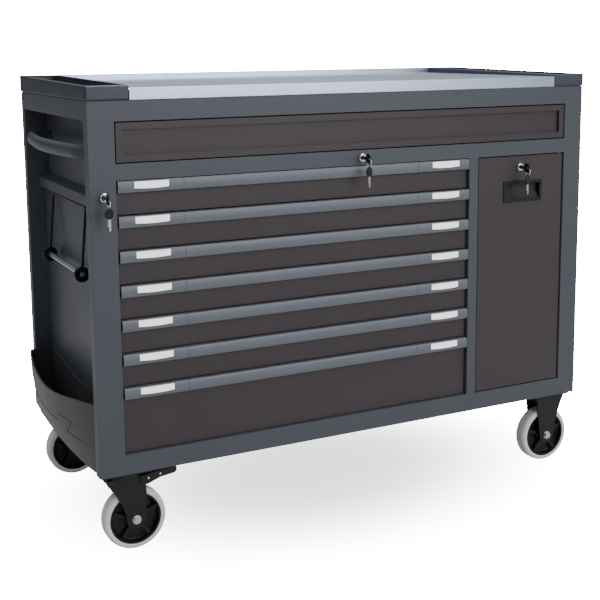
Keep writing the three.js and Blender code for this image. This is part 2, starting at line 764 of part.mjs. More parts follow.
// A bolt with a six-sided head in front and a nut behind, in one solid.
function castorAxle(wheelX, y) {
  const outside = legInside + fork.thickness + gap;
  const ends = [
    [-outside - axle.headHeight, -outside],
    [outside, outside + axle.headHeight],
  ];
  const heads = ends.map(([a, b]) => cylinder("y", axle.headDiameter, a, b, [wheelX, y, axleZ], 6));
  const shaft = cylinder("y", axle.diameter, ends[0][0] + 1, ends[1][1] - 1, [wheelX, y, axleZ], 16);
  return joined(shaft, ...heads);
}

// A moulded wheel centre: a rim, a boss and five spokes between them.
function wheelHub(wheelX, y) {
  const outer = hubDiameter / 2;
  const half = wheel.width / 2 - 1;
  const web = hub.web / 2;
  const boss = hub.boss / 2;
  const bore = axle.diameter / 2 + gap;
  const right = [
    [outer, half],
    [outer - hub.rim, half],
    [outer - hub.rimFoot, web],
    [boss + 1, web],
    [boss, half + hub.bossProud],
    [bore, half + hub.bossProud],
  ];
  const left = right.map(([r, h]) => [r, -h]).reverse();
  const whole = turned([...left, ...right], "y", [wheelX, y, axleZ], wheel.facets);
  const ribs = [];
  for (let i = 0; i < hub.spokes; i++) {
    const rib = new THREE.BoxGeometry(outer - boss - 2, 2 * half - hub.rim, hub.spokeWidth);
    rib.translate((outer + boss) / 2 - 1, 0, 0).rotateY(((i + 0.25) * 2 * Math.PI) / hub.spokes);
    ribs.push(solid(rib.translate(wheelX, y, axleZ)));
  }
  return joined(whole, ...ribs);
}

function wheelTyre(wheelX, y) {
  const inner = hubDiameter / 2 + gap;
  const outer = wheel.diameter / 2;
  const half = wheel.width / 2;
  const right = [
    [outer, tread.flat / 2],
    [outer - tread.shoulder, half - tread.bevel],
    [outer - tread.sideWall, half],
    [inner, half - 1],
  ];
  const left = right.map(([r, h]) => [r, -h]).reverse();
  return turned([...left, ...right], "y", [wheelX, y, axleZ], wheel.facets);
}

// A foot pedal hinged between the fork's cheeks, over the tyre, with its tip turned up.
function brakePedal(x, y) {
  const z = bodyBottom - pedal.drop;
  const line = [
    [x + pedal.from, z],
    [x + pedal.to - pedal.tip, z],
    [x + pedal.to, z + pedal.tipRise],
  ];
  const half = pedal.width / 2;
  return prism("xz", foldedOutline(line, pedal.thickness), y - half, y + half);
}

// ---------------------------------------------------------------- assembly

add("front_frame", frontFrame(), finishes.bodyPaint);
add("side_panel_left", leftSide(), finishes.bodyPaint);
add("side_panel_right", rightSide(), finishes.bodyPaint);
add("back_panel", backPanel(), finishes.bodyPaint);
add("base_pan", basePan(), finishes.bodyPaint);
add("divider_wall", dividerWall(), finishes.bodyPaint);

add("worktop", worktopSheet(), finishes.steel);
add("tray_left", endTray(-tray.overhang), finishes.trayPlastic);
add("tray_right", endTray(width + tray.overhang - tray.width), finishes.trayPlastic);

add("push_handle", pushHandle(), finishes.bodyPaint);
add("roll_bail", rollBail(), finishes.blackPlastic);
add("roll_spindle", rollSpindle(), finishes.steel);
add("side_pocket", sidePocket(), finishes.pocketPlastic);

const fronts = bankOfDrawers();
add("wide_drawer", wideDrawer(), finishes.frontPaint);
fronts.forEach(({ z, height }, i) => {
  add(`drawer_${i + 1}`, drawerSolid(z, height), finishes.frontPaint);
  add(`drawer_pull_${i + 1}`, drawerPull(z, height), finishes.pullPlastic);
});

const wideLevel = wideBottom + wideOpening / 2 - slideRail.drop;
const levels = fronts.map(({ z, height }) => z + height / 2 - slideRail.drop);
const rackLeft = recess.lower + sheet + 2 * gap;
const slideInset = gap * 2;
const rackBottom = bayBottom - upright.foot;
// Beside the handle recess the left rack has only its webs.
const besideRecess = block(
  [0, recess.handle + sheet + gap],
  [0, depth],
  [ledgeTop - ledge.height - 2 * sheet, bodyTop],
);
const leftRack = slideRack(post.left + slideInset, rackLeft, [wideLevel, ...levels], rackBottom);
add("slide_rack_left", cut(leftRack, besideRecess), finishes.zinc);
const rightRack = slideRack(drawersRight - slideInset, dividerX - gap, levels, rackBottom);
add("slide_rack_right", rightRack, finishes.zinc);
const rackRight = width - recess.lower - sheet - 2 * gap;
const wideRack = slideRack(cupboardRight - slideInset, rackRight, [wideLevel], wideBottom - rail.middle / 2);
add("wide_slide_right", wideRack, finishes.zinc);

add("door_panel", doorPanel(), finishes.frontPaint);
add("door_hinge_rod", hingeRod(), finishes.zinc);
add("door_pull", doorPull(), finishes.blackPlastic);
add("cupboard_shelf", cupboardShelf(), finishes.bodyPaint);

for (const [name, place] of Object.entries(locks)) {
  const face = name === "door" ? door.setback : 0;
  add(`lock_barrel_${name}`, lockBarrel(place, face), finishes.chrome);
  add(`lock_key_${name}`, lockKey(place, face), finishes.blackPlastic);
}

for (const { name, x, back, swivel } of castorPlaces) {
  const inFromFront = castor.fromFront + plate.width / 2;
  const y = back ? depth - inFromFront : inFromFront;
  const wheelX = swivel ? x + wheel.trail : x;
  if (swivel) add(`castor_plate_${name}`, castorPlate(x, y), finishes.blackPaint);
  add(`castor_fork_${name}`, castorFork(x, y, wheelX, swivel), finishes.blackPaint);
  add(`castor_axle_${name}`, castorAxle(wheelX, y), finishes.zinc);
  add(`wheel_hub_${name}`, wheelHub(wheelX, y), finishes.blackPlastic);
  add(`wheel_tyre_${name}`, wheelTyre(wheelX, y), finishes.tyre);
}
const brakeY = castor.fromFront + plate.width / 2;
add("brake_pedal", brakePedal(castorPlaces[0].x, brakeY), finishes.blackPaint);

// The frame's origin is on the floor, under the middle of the whole chest.
const extent = new THREE.Box3().setFromObject(chest);
const middle = extent.getCenter(new THREE.Vector3());
chest.children.forEach((piece) => piece.position.set(-middle.x, -middle.y, -extent.min.z));

export default chest;
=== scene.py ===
# A rolling tool chest: a powder-coated steel cabinet with drawers and a cupboard, a stainless worktop
# between plastic trays, and castors under it. Metres, +Z up; the drawer fronts face -Y.
import math

import bmesh
import bpy
from mathutils import Matrix, Vector


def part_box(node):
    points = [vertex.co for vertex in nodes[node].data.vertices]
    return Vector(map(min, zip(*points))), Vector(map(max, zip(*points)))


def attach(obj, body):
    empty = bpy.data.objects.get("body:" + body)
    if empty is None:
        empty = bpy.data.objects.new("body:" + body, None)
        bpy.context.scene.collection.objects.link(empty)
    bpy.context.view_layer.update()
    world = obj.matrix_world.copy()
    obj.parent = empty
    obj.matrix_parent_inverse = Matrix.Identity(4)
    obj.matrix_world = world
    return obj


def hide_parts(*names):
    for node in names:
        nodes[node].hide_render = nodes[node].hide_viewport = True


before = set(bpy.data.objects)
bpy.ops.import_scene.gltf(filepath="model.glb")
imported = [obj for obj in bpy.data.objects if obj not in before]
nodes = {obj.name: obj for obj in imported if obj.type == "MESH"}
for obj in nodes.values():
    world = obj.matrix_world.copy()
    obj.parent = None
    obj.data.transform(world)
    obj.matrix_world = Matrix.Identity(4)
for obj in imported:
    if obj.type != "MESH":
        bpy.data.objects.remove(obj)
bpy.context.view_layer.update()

# ------------------------------------------------------------------ camera
# It stands in front of the left end, a little above the worktop, and looks down along the drawers.
bpy.ops.object.camera_add(location=(-1.2054, -2.3931, 1.0658))
camera = bpy.context.object
heading, dip, roll = (math.radians(angle) for angle in (26.626, 8.812, 0.521))
level = Matrix.Rotation(-heading, 3, "Z") @ Matrix.Rotation(math.pi / 2 - dip, 3, "X")
camera.rotation_euler = (level @ Matrix.Rotation(-roll, 3, "Z")).to_euler()
camera.data.sensor_width = 36
camera.data.lens = 66.22
camera.data.shift_y = -0.14
bpy.context.scene.camera = camera


# ------------------------------------------------------------------ studio
# A pale sweep and soft light from all round, with a large soft box in front, one overhead and a
# weaker one at the left. The sweep also glows for the camera only, a painted light: faintly next to
# the chest, where it lightens the real shadow, and more and more outwards, which paints a soft shade
# round the chest and fades the sweep to plain white far from it.
def put(tree, kind, sockets=None, **settings):
    """Adds a node to a tree, sets it up, and fills or links its inputs."""
    made = tree.nodes.new("ShaderNode" + kind)
    for name, value in settings.items():
        setattr(made, name, value)
    for key, value in (sockets or {}).items():
        if isinstance(value, bpy.types.NodeSocket):
            tree.links.new(value, made.inputs[key])
        else:
            made.inputs[key].default_value = value
    return made


# The chest sees surroundings that darken towards the left and the back, in soft patches. Higher up they
# are even, and the camera itself sees plain white.
world = bpy.data.worlds.new("studio")
bpy.context.scene.world = world
world.use_nodes = True
tree = world.node_tree
seen = put(tree, "LightPath").outputs["Is Camera Ray"]
towards = put(tree, "TexCoord").outputs["Generated"]
split = put(tree, "SeparateXYZ", {"Vector": towards}).outputs
from_left = {"From Min": -0.35, "From Max": 0.6, "To Min": 0.0, "To Max": 1.08}
from_left = put(tree, "MapRange", {"Value": split["X"], **from_left}).outputs["Result"]
to_back = {"From Min": 0.2, "From Max": 0.85, "To Min": 1.0, "To Max": 0.3}
to_back = put(tree, "MapRange", {"Value": split["Y"], **to_back}).outputs["Result"]
patches = put(tree, "TexNoise", {"Vector": towards, "Scale": 2.6, "Detail": 1.0}).outputs["Fac"]
uneven = {"From Min": 0.35, "From Max": 0.65, "To Min": 0.45, "To Max": 1.45}
uneven = put(tree, "MapRange", {"Value": patches, **uneven}).outputs["Result"]
around = put(tree, "Math", {0: from_left, 1: uneven}, operation="MULTIPLY").outputs[0]
around = put(tree, "Math", {0: around, 1: to_back}, operation="MULTIPLY").outputs[0]
above = put(tree, "MapRange", {"Value": split["Z"], "From Min": 0.26, "From Max": 0.42}).outputs["Result"]
around = put(tree, "Mix", {"Factor": above, "A": around, "B": 0.8}, data_type="FLOAT").outputs["Result"]
strength = put(tree, "MapRange", {"Value": seen, "To Min": around, "To Max": 60.0}).outputs["Result"]
sky = tree.nodes["Background"]
sky.inputs["Color"].default_value = (0.96, 0.98, 1.0, 1)
tree.links.new(strength, sky.inputs["Strength"])


def soft_box(name, place, target, size, power):
    """A square area light that faces a point."""
    bpy.ops.object.light_add(type="AREA", location=place)
    lamp = bpy.context.object
    lamp.name = name
    lamp.rotation_euler = (Vector(target) - Vector(place)).to_track_quat("-Z", "Y").to_euler()
    lamp.data.size = size
    lamp.data.energy = power


soft_box("front_box", (1.0, -3.4, 1.9), (0, 0, 0.5), 2.4, 72)
soft_box("top_box", (0.1, 0.1, 3.2), (0, 0, 0.5), 2.2, 98)
soft_box("left_box", (-3.2, -0.6, 1.4), (0, 0, 0.5), 1.8, 1.0)

bpy.ops.mesh.primitive_plane_add(size=60, location=(0, 0, 0))
floor = bpy.context.object
floor.name = "floor"
pale = bpy.data.materials.new("pale floor")
pale.use_nodes = True
tree = pale.node_tree
paint = tree.nodes["Principled BSDF"]
paint.inputs["Base Color"].default_value = (0.55, 0.545, 0.545, 1)
paint.inputs["Roughness"].default_value = 0.9
spread = put(tree, "Mapping", {"Vector": put(tree, "TexCoord").outputs["Object"], "Scale": (0.75, 1.05, 1)})
distance = put(tree, "VectorMath", {0: spread.outputs["Vector"]}, operation="LENGTH").outputs["Value"]
far = {"Value": distance, "From Min": 0.05, "From Max": 0.92}
far = put(tree, "MapRange", far, interpolation_type="SMOOTHSTEP").outputs["Result"]
brighter = put(tree, "Math", {0: far, 1: 2.0}, operation="POWER").outputs[0]
glowing = put(tree, "MapRange", {"Value": brighter, "To Min": 3.5, "To Max": 60.0}).outputs["Result"]
# Painted light: the sweep's glow, seen by the camera only, grows from faint near the chest to plain white far
# away.
glow = put(tree, "Emission", {"Color": (0.985, 0.975, 0.985, 1), "Strength": glowing})
cover = put(tree, "MapRange", {"Value": far, "To Min": 0.6, "To Max": 1.0}).outputs["Result"]
seen = put(tree, "LightPath").outputs["Is Camera Ray"]
share = put(tree, "Math", {0: cover, 1: seen}, operation="MULTIPLY")
blend = put(tree, "MixShader", {0: share.outputs["Value"], 2: glow.outputs["Emission"]})
tree.links.new(paint.outputs["BSDF"], blend.inputs[1])
tree.links.new(blend.outputs["Shader"], tree.nodes["Material Output"].inputs["Surface"])
floor.data.materials.append(pale)


# ------------------------------------------------------------------ cabinet shell
# Folded from 2 mm steel sheet and spot welded, with a small round along every fold, and powder coated
# dark blue-grey. The coat has a fine orange peel, and is a little thin and lighter on the folds.
def effect(name, inputs, outputs):
    """A shader node group with named sockets: its tree, what comes in and what goes out."""
    group = bpy.data.node_groups.new(name, "ShaderNodeTree")
    for label, value in inputs.items():
        kind = "NodeSocketColor" if isinstance(value, tuple) else "NodeSocketFloat"
        group.interface.new_socket(label, in_out="INPUT", socket_type=kind).default_value = value
    for label, kind in outputs.items():
        group.interface.new_socket(label, in_out="OUTPUT", socket_type="NodeSocket" + kind)
    entry, end = group.nodes.new("NodeGroupInput"), group.nodes.new("NodeGroupOutput")
    return group, entry.outputs, end.inputs


# Fine grain over faint clouds: the surface of powder coat, moulded plastic, rubber and card.
grain, given, ready = effect(
    "fine grain",
    {"Color": (0.1, 0.1, 0.1, 1), "Grains per metre": 900.0, "Clouding": 0.1, "Roughness": 0.45},
    {"Color": "Color", "Roughness": "Float", "Height": "Float"},
)
place = put(grain, "TexCoord").outputs["Object"]
clouds = put(grain, "TexNoise", {"Vector": place, "Scale": 7.0, "Detail": 5.0}).outputs["Fac"]
pits = {"Vector": place, "Scale": given["Grains per metre"], "Detail": 2.0}
pits = put(grain, "TexNoise", pits).outputs["Fac"]
double = put(grain, "Math", {0: given["Clouding"], 1: 2.0}, operation="MULTIPLY").outputs[0]
base = put(grain, "Math", {0: 1.0, 1: given["Clouding"]}, operation="SUBTRACT").outputs[0]
shade = put(grain, "Math", {0: clouds, 1: double, 2: base}, operation="MULTIPLY_ADD").outputs[0]
tinted = put(grain, "HueSaturation", {"Color": given["Color"], "Value": shade})
rough = put(grain, "Math", {0: clouds, 1: 0.16, 2: given["Roughness"]}, operation="MULTIPLY_ADD").outputs[0]
centred = put(grain, "Math", {0: rough, 1: 0.08}, operation="SUBTRACT").outputs[0]
grain.links.new(tinted.outputs["Color"], ready["Color"])
grain.links.new(centred, ready["Roughness"])
grain.links.new(pits, ready["Height"])

# Worn edges: the colour turns lighter, in patches, where the surface bends sharply.
worn, given, ready = effect(
    "worn edge",
    {"Color": (0.1, 0.1, 0.1, 1), "Bare": (0.3, 0.3, 0.3, 1), "Reach": 0.0012, "Amount": 0.5},
    {"Color": "Color"},
)
rounded = put(worn, "Bevel", {"Radius": given["Reach"]}, samples=4).outputs["Normal"]
true_normal = put(worn, "NewGeometry").outputs["True Normal"]
alike = put(worn, "VectorMath", {0: rounded, 1: true_normal}, operation="DOT_PRODUCT").outputs["Value"]
edge = put(worn, "MapRange", {"Value": alike, "From Min": 0.99, "From Max": 0.86}).outputs["Result"]
place = put(worn, "TexCoord").outputs["Object"]
patches = put(worn, "TexNoise", {"Vector": place, "Scale": 26.0, "Detail": 3.0}).outputs["Fac"]
share = put(worn, "Math", {0: edge, 1: patches}, operation="MULTIPLY").outputs[0]
share = put(worn, "Math", {0: share, 1: given["Amount"]}, operation="MULTIPLY").outputs[0]
mixed = put(worn, "Mix", {"Factor": share}, data_type="RGBA")
worn.links.new(given["Color"], mixed.inputs[6])
worn.links.new(given["Bare"], mixed.inputs[7])
worn.links.new(mixed.outputs[2], ready["Color"])


def finish(name, surface, values, relief, edge=None, **constants):
    """A material that takes colour, roughness and relief from an effect, with worn edges or without."""
    made = bpy.data.materials.new(name)
    made.use_nodes = True
    tree = made.node_tree
    shader = tree.nodes["Principled BSDF"]
    for key, value in constants.items():
        shader.inputs[key.replace("_", " ")].default_value = value
    skin = put(tree, "Group", node_tree=surface)
    for key, value in values.items():
        skin.inputs[key].default_value = value
    color = skin.outputs["Color"]
    if edge:
        rubbed = put(tree, "Group", node_tree=worn)
        rubbed.inputs["Bare"].default_value = edge
        tree.links.new(color, rubbed.inputs["Color"])
        color = rubbed.outputs["Color"]
    bump = put(tree, "Bump", {"Height": skin.outputs["Height"], "Distance": relief, "Strength": 1.0})
    tree.links.new(color, shader.inputs["Base Color"])
    tree.links.new(skin.outputs["Roughness"], shader.inputs["Roughness"])
    tree.links.new(bump.outputs["Normal"], shader.inputs["Normal"])
    return made


def pick(piece):
    """Leaves only this piece selected, and active."""
    bpy.ops.object.select_all(action="DESELECT")
    piece.hide_set(False)
    piece.select_set(True)
    bpy.context.view_layer.objects.active = piece


def refined(node, name):
    """A copy of a frame piece whose loose triangles are merged into whole faces."""
    piece = bpy.data.objects.new(name, nodes[node].data.copy())
    bpy.context.scene.collection.objects.link(piece)
    pick(piece)
    bpy.ops.mesh.customdata_custom_splitnormals_clear()
    bpy.ops.object.mode_set(mode="EDIT")
    bpy.ops.mesh.select_all(action="SELECT")
    bpy.ops.mesh.remove_doubles(threshold=1e-6)
    bpy.ops.mesh.dissolve_limited(angle_limit=math.radians(0.4))
    bpy.ops.object.mode_set(mode="OBJECT")
    return piece


def select_edges(piece, chosen):
    """In edit mode, selects the sharp edges whose two ends pass a test."""
    pick(piece)
    bpy.ops.object.mode_set(mode="EDIT")
    bpy.ops.mesh.select_mode(type="EDGE")
    bpy.ops.mesh.select_all(action="DESELECT")
    mesh = bmesh.from_edit_mesh(piece.data)
    for edge in mesh.edges:
        sharp = len(edge.link_faces) == 2 and edge.calc_face_angle() > math.radians(25)
        edge.select_set(bool(sharp and all(chosen(end.co) for end in edge.verts)))
    bmesh.update_edit_mesh(piece.data)


def round_edges(piece, radius, segments, chosen):
    """Rounds the sharp edges whose two ends pass a test."""
    select_edges(piece, chosen)
    bpy.ops.mesh.bevel(offset=radius, segments=segments, affect="EDGES", clamp_overlap=True)
    bpy.ops.object.mode_set(mode="OBJECT")


def apply(piece, kind, **settings):
    """Adds a modifier, sets it up and applies it."""
    pick(piece)
    modifier = piece.modifiers.new(kind, kind)
    for key, value in settings.items():
        setattr(modifier, key, value)
    bpy.ops.object.modifier_apply(modifier=modifier.name)


def soften(piece, radius, segments=2, angle=30):
    """Rounds every sharp edge, and keeps the flats flat in shading."""
    limit = math.radians(angle)
    apply(piece, "BEVEL", width=radius, segments=segments, limit_method="ANGLE", angle_limit=limit)
    bpy.ops.object.shade_smooth_by_angle(angle=math.radians(38))
    apply(piece, "WEIGHTED_NORMAL", keep_sharp=True)


def fit(piece, body, slot, material, *stands_for):
    """Gives a finished piece its material, and ties it to the body that it moves with."""
    piece.data.materials.clear()
    piece.data.materials.append(material)
    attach(piece, body)
    if stands_for:
        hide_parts(*stands_for)


body_coat = finish(
    "body powder coat",
    grain,
    {"Color": (0.055, 0.061, 0.074, 1), "Grains per metre": 1100.0, "Clouding": 0.07, "Roughness": 0.42},
    0.00005,
    edge=(0.12, 0.13, 0.15, 1),
    Specular_IOR_Level=0.3,
)
front_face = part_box("front_frame")[0].y
for node, radius in {
    "front_frame": 0.0007,
    "side_panel_left": 0.0008,
    "side_panel_right": 0.0008,
    "back_panel": 0.0008,
    "base_pan": 0.0006,
    "divider_wall": 0.0006,
    "cupboard_shelf": 0.0008,
}.items():
    panel = refined(node, node + "_folded")
    if node == "front_frame":
        round_edges(panel, 0.0022, 4, lambda end: end.y < front_face + 1e-5)
    soften(panel, radius)
    fit(panel, "cabinet", "body_paint", body_coat, node)


# ------------------------------------------------------------------ worktop and trays
# One folded sheet of brushed stainless steel, its grain running along the chest, between two moulded
# trays with rounded corners and a low rib across the middle.
brushed, given, ready = effect(
    "brushed steel",
    {"Color": (0.5, 0.52, 0.55, 1), "Streaks": 0.12, "Roughness": 0.3},
    {"Color": "Color", "Roughness": "Float", "Height": "Float"},
)
place = put(brushed, "TexCoord").outputs["Object"]
drawn_out = put(brushed, "Mapping", {"Vector": place, "Scale": (5.0, 620.0, 620.0)}).outputs["Vector"]
lines = put(brushed, "TexNoise", {"Vector": drawn_out, "Scale": 1.0, "Detail": 4.0}).outputs["Fac"]
smears = put(brushed, "TexNoise", {"Vector": place, "Scale": 5.0, "Detail": 4.0}).outputs["Fac"]
level = put(brushed, "MapRange", {"Value": lines, "To Min": 0.86, "To Max": 1.1}).outputs["Result"]
tone = put(brushed, "HueSaturation", {"Color": given["Color"], "Value": level}).outputs["Color"]
spread = {0: lines, 1: given["Streaks"], 2: given["Roughness"]}
spread = put(brushed, "Math", spread, operation="MULTIPLY_ADD").outputs[0]
matt = put(brushed, "Math", {0: smears, 1: 0.12, 2: spread}, operation="MULTIPLY_ADD").outputs[0]
brushed.links.new(tone, ready["Color"])
brushed.links.new(matt, ready["Roughness"])
brushed.links.new(lines, ready["Height"])

# The steel's blue-grey colour is a painted reflection: the metal is tinted with the blue of the surroundings
# it mirrors.
steel = finish(
    "brushed stainless steel",
    brushed,
    {"Color": (0.41, 0.49, 0.59, 1), "Streaks": 0.1, "Roughness": 0.2},
    0.00003,
    Metallic=1.0,
)
sheet = refined("worktop", "worktop_folded")
soften(sheet, 0.0007, 3)
fit(sheet, "cabinet", "stainless", steel, "worktop")

tray_plastic = finish(
    "tray plastic",
    grain,
    {"Color": (0.021, 0.027, 0.043, 1), "Grains per metre": 1500.0, "Clouding": 0.08, "Roughness": 0.46},
    0.00009,
    edge=(0.1, 0.11, 0.14, 1),
)


def on_corners(node, first, second):
    """A test for points at the corners of a node's box, as seen across two of its axes."""
    low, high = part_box(node)

    def at_end(point, axis):
        return min(point[axis] - low[axis], high[axis] - point[axis]) < 1e-4

    return lambda point: at_end(point, first) and at_end(point, second)


for node in ("tray_left", "tray_right"):
    tray = refined(node, node + "_moulded")
    round_edges(tray, 0.004, 4, on_corners(node, 0, 1))
    soften(tray, 0.0012, 3)
    fit(tray, "cabinet", "tray_plastic", tray_plastic, node)


# ------------------------------------------------------------------ left side fittings
# The bowed push handle, painted like the body; the paper-roll holder of bent wire with a disc at each
# end and a bright spindle; and the moulded pocket, whose face has a stepped crease pressed into it.
def smooth(piece, angle=40):
    """Smooth shading that keeps the edges sharper than an angle."""
    pick(piece)
    bpy.ops.object.shade_smooth_by_angle(angle=math.radians(angle))


bar = refined("push_handle", "push_handle_bent")
smooth(bar, 50)
fit(bar, "cabinet", "body_paint", body_coat, "push_handle")

black_plastic = finish(
    "black plastic",
    grain,
    {"Color": (0.005, 0.005, 0.006, 1), "Grains per metre": 1300.0, "Clouding": 0.1, "Roughness": 0.38},
    0.00006,
    Specular_IOR_Level=0.3,
)
bright_zinc = finish(
    "bright zinc",
    grain,
    {"Color": (0.56, 0.57, 0.59, 1), "Grains per metre": 420.0, "Clouding": 0.12, "Roughness": 0.3},
    0.00002,
    Metallic=1.0,
)


def trace(name, points):
    """A line of edges through points, drawn from one vertex by extruding it."""
    bpy.ops.object.select_all(action="DESELECT")
    bpy.ops.mesh.primitive_plane_add(size=0.01, location=(0, 0, 0))
    piece = bpy.context.object
    piece.name = name
    bpy.ops.object.mode_set(mode="EDIT")
    bpy.ops.mesh.select_mode(type="VERT")
    bpy.ops.mesh.select_all(action="SELECT")
    bpy.ops.mesh.merge(type="CENTER")
    bpy.ops.transform.translate(value=points[0])
    for before, after in zip(points, points[1:]):
        step = Vector(after) - Vector(before)
        bpy.ops.mesh.extrude_region_move(TRANSFORM_OT_translate={"value": step})
    return piece


def close_mesh():
    """Ends edit mode with doubles merged and normals pointing out."""
    bpy.ops.mesh.select_all(action="SELECT")
    bpy.ops.mesh.remove_doubles(threshold=1e-6)
    bpy.ops.mesh.normals_make_consistent(inside=False)
    bpy.ops.object.mode_set(mode="OBJECT")


def swept(name, outline, along):
    """A flat outline pushed along a vector into a closed solid."""
    piece = trace(name, outline)
    bpy.ops.mesh.select_all(action="SELECT")
    bpy.ops.mesh.edge_face_add()
    bpy.ops.mesh.extrude_region_move(TRANSFORM_OT_translate={"value": along})
    close_mesh()
    return piece


def spun(name, profile, centre, steps=60):
    """A closed profile of radii and places along Y, turned about a line along Y through the centre."""
    piece = trace(name, [(centre.x + r, centre.y + y, centre.z) for r, y in profile])
    bpy.ops.mesh.select_all(action="SELECT")
    bpy.ops.mesh.spin(steps=steps, angle=2 * math.pi, center=centre, axis=(0, 1, 0))
    close_mesh()
    return piece


def merged(name, pieces):
    """Several finished pieces as one object."""
    bpy.ops.object.select_all(action="DESELECT")
    for piece in pieces:
        piece.select_set(True)
    bpy.context.view_layer.objects.active = pieces[0]
    bpy.ops.object.join()
    pieces[0].name = name
    return pieces[0]


def moved_copy(piece, name, shift):
    """A copy of a piece at another place, with its origin left at the frame's origin."""
    twin = bpy.data.objects.new(name, piece.data.copy())
    bpy.context.scene.collection.objects.link(twin)
    pick(twin)
    bpy.ops.transform.translate(value=shift)
    bpy.ops.object.transform_apply(location=True, rotation=False, scale=False)
    return twin


def wire(name, points, radius, cyclic=False):
    """A round wire through points."""
    line = trace(name, points)
    if cyclic:
        bpy.ops.mesh.select_all(action="SELECT")
        bpy.ops.mesh.remove_doubles(threshold=1e-6)
    bpy.ops.object.mode_set(mode="OBJECT")
    pick(line)
    bpy.ops.object.convert(target="CURVE")
    line.data.bevel_depth = radius
    line.data.bevel_resolution = 4
    line.data.use_fill_caps = True
    bpy.ops.object.convert(target="MESH")
    line = bpy.context.object
    bpy.ops.object.mode_set(mode="EDIT")
    close_mesh()
    bpy.ops.object.shade_smooth_by_angle(angle=math.radians(40))
    return line


low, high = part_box("roll_bail")
spindle_low, spindle_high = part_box("roll_spindle")
pin = (spindle_low + spindle_high) / 2
half, wire_radius, bend = 0.0045, 0.003, 0.008
arm_y = (low.y + half, high.y - half)
pivot = Vector((pin.x + 0.014, 0, high.z - wire_radius))
lean = (pin - pivot).normalized()
lean = Vector((lean.x, 0, lean.z)).normalized()


def bent_arm(y, inward):
    """The arm's points from its disc up to the rounded bend under the ledge."""
    foot = Vector((pin.x, y, pin.z)) - lean * 0.012
    points = [foot]
    for i in range(7):
        turn = math.radians(15 * i)
        back = bend * (1 - math.sin(turn))
        sideways = Vector((0, inward * bend * (1 - math.cos(turn)), 0))
        points.append(Vector((pivot.x, y, pivot.z)) + lean * back + sideways)
    return points


near = bent_arm(arm_y[0], 1)
distant = bent_arm(arm_y[1], -1)
bail = wire("bail_wire", near + distant[::-1], wire_radius)
face = [(0.0062, -half), (0.0095, -half), (0.0098, -half + 0.0008), (0.0122, -half + 0.0008), (0.0125, -half)]
rim = [(0.0158, -half), (0.017, -half + 0.0012)]
side = face + rim
disc_profile = side + [(r, -y) for r, y in reversed(side)] + [side[0]]
discs = [spun("disc", disc_profile, Vector((pin.x, y, pin.z)), 48) for y in arm_y]
for disc in discs:
    smooth(disc, 35)
bail = merged("roll_bail_bent", [bail] + discs)
fit(bail, "roll_bail", "black_plastic", black_plastic, "roll_bail")

reach = (spindle_high.y - spindle_low.y) / 2
tip = [(0, -reach), (0.0044, -reach), (0.0055, -reach + 0.0012)]
rod = spun("roll_spindle_turned", tip + [(r, -y) for r, y in reversed(tip)], pin, 40)
smooth(rod, 35)
fit(rod, "roll_spindle", "zinc", bright_zinc, "roll_spindle")

pocket_plastic = finish(
    "pocket plastic",
    grain,
    {"Color": (0.04, 0.042, 0.046, 1), "Grains per metre": 1200.0, "Clouding": 0.08, "Roughness": 0.5},
    0.0001,
    edge=(0.12, 0.125, 0.13, 1),
)
shell = refined("side_pocket", "pocket_shell")
smooth(shell, 35)
low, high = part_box("side_pocket")
length, rise = high.y - low.y, high.z - low.z
crease_at = [(0.02, 0.5), (0.6, 0.5), (0.66, 0.68), (0.8, 0.68), (0.72, 0.42), (0.98, 0.42)]
crease = []
for (s0, h0), (s1, h1) in zip(crease_at, crease_at[1:]):
    steps = max(2, int(abs(s1 - s0) * 40))
    for i in range(steps):
        s, h = s0 + (s1 - s0) * i / steps, h0 + (h1 - h0) * i / steps
        start = Vector((low.x - 0.05, high.y - s * length, low.z + h * rise * 0.86))
        hit, spot, normal, _ = shell.ray_cast(start, Vector((1, 0, 0)))
        if hit:
            crease.append(spot + normal * 0.0001)
bead = wire("pocket_crease", crease, 0.0011)
pocket = merged("side_pocket_moulded", [shell, bead])
fit(pocket, "cabinet", "pocket_plastic", pocket_plastic, "side_pocket")


# ------------------------------------------------------------------ back screws
# Dome-headed screws hold the back panel along its edges.
low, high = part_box("back_panel")
dome = [(0, -0.0006), (0.0038, -0.0006), (0.0038, 0.0004), (0.003, 0.0013), (0.0014, 0.0019), (0, 0.002)]
screw = spun("screw", dome + dome[:1], Vector((low.x + 0.012, high.y, low.z + 0.02)), 24)
smooth(screw, 40)
across, up = high.x - low.x - 0.024, high.z - low.z - 0.04
places = [(i / 6, j) for i in range(7) for j in (0, 1)] + [(i, j / 4) for i in (0, 1) for j in (1, 2, 3)]
screws = [moved_copy(screw, "screw", (across * i, 0, up * j)) for i, j in places]
bpy.data.objects.remove(screw)
fit(merged("back_screws", screws), "cabinet", "zinc", bright_zinc)


# ------------------------------------------------------------------ drawers
# Each drawer is folded from thin sheet with a warm charcoal front. Its pull is a blue-grey extrusion in
# three lengths: a long middle one, and at each end a shorter one that holds a blank white card.
front_coat = finish(
    "front powder coat",
    grain,
    {"Color": (0.039, 0.031, 0.0345, 1), "Grains per metre": 1100.0, "Clouding": 0.08, "Roughness": 0.4},
    0.00005,
    edge=(0.09, 0.08, 0.085, 1),
    Specular_IOR_Level=0.3,
)
drawers = [f"drawer_{i}" for i in range(1, 8)]
for node in ["wide_drawer"] + drawers:
    folded = refined(node, node + "_folded")
    soften(folded, 0.0005)
    fit(folded, node, "front_paint", front_coat, node)

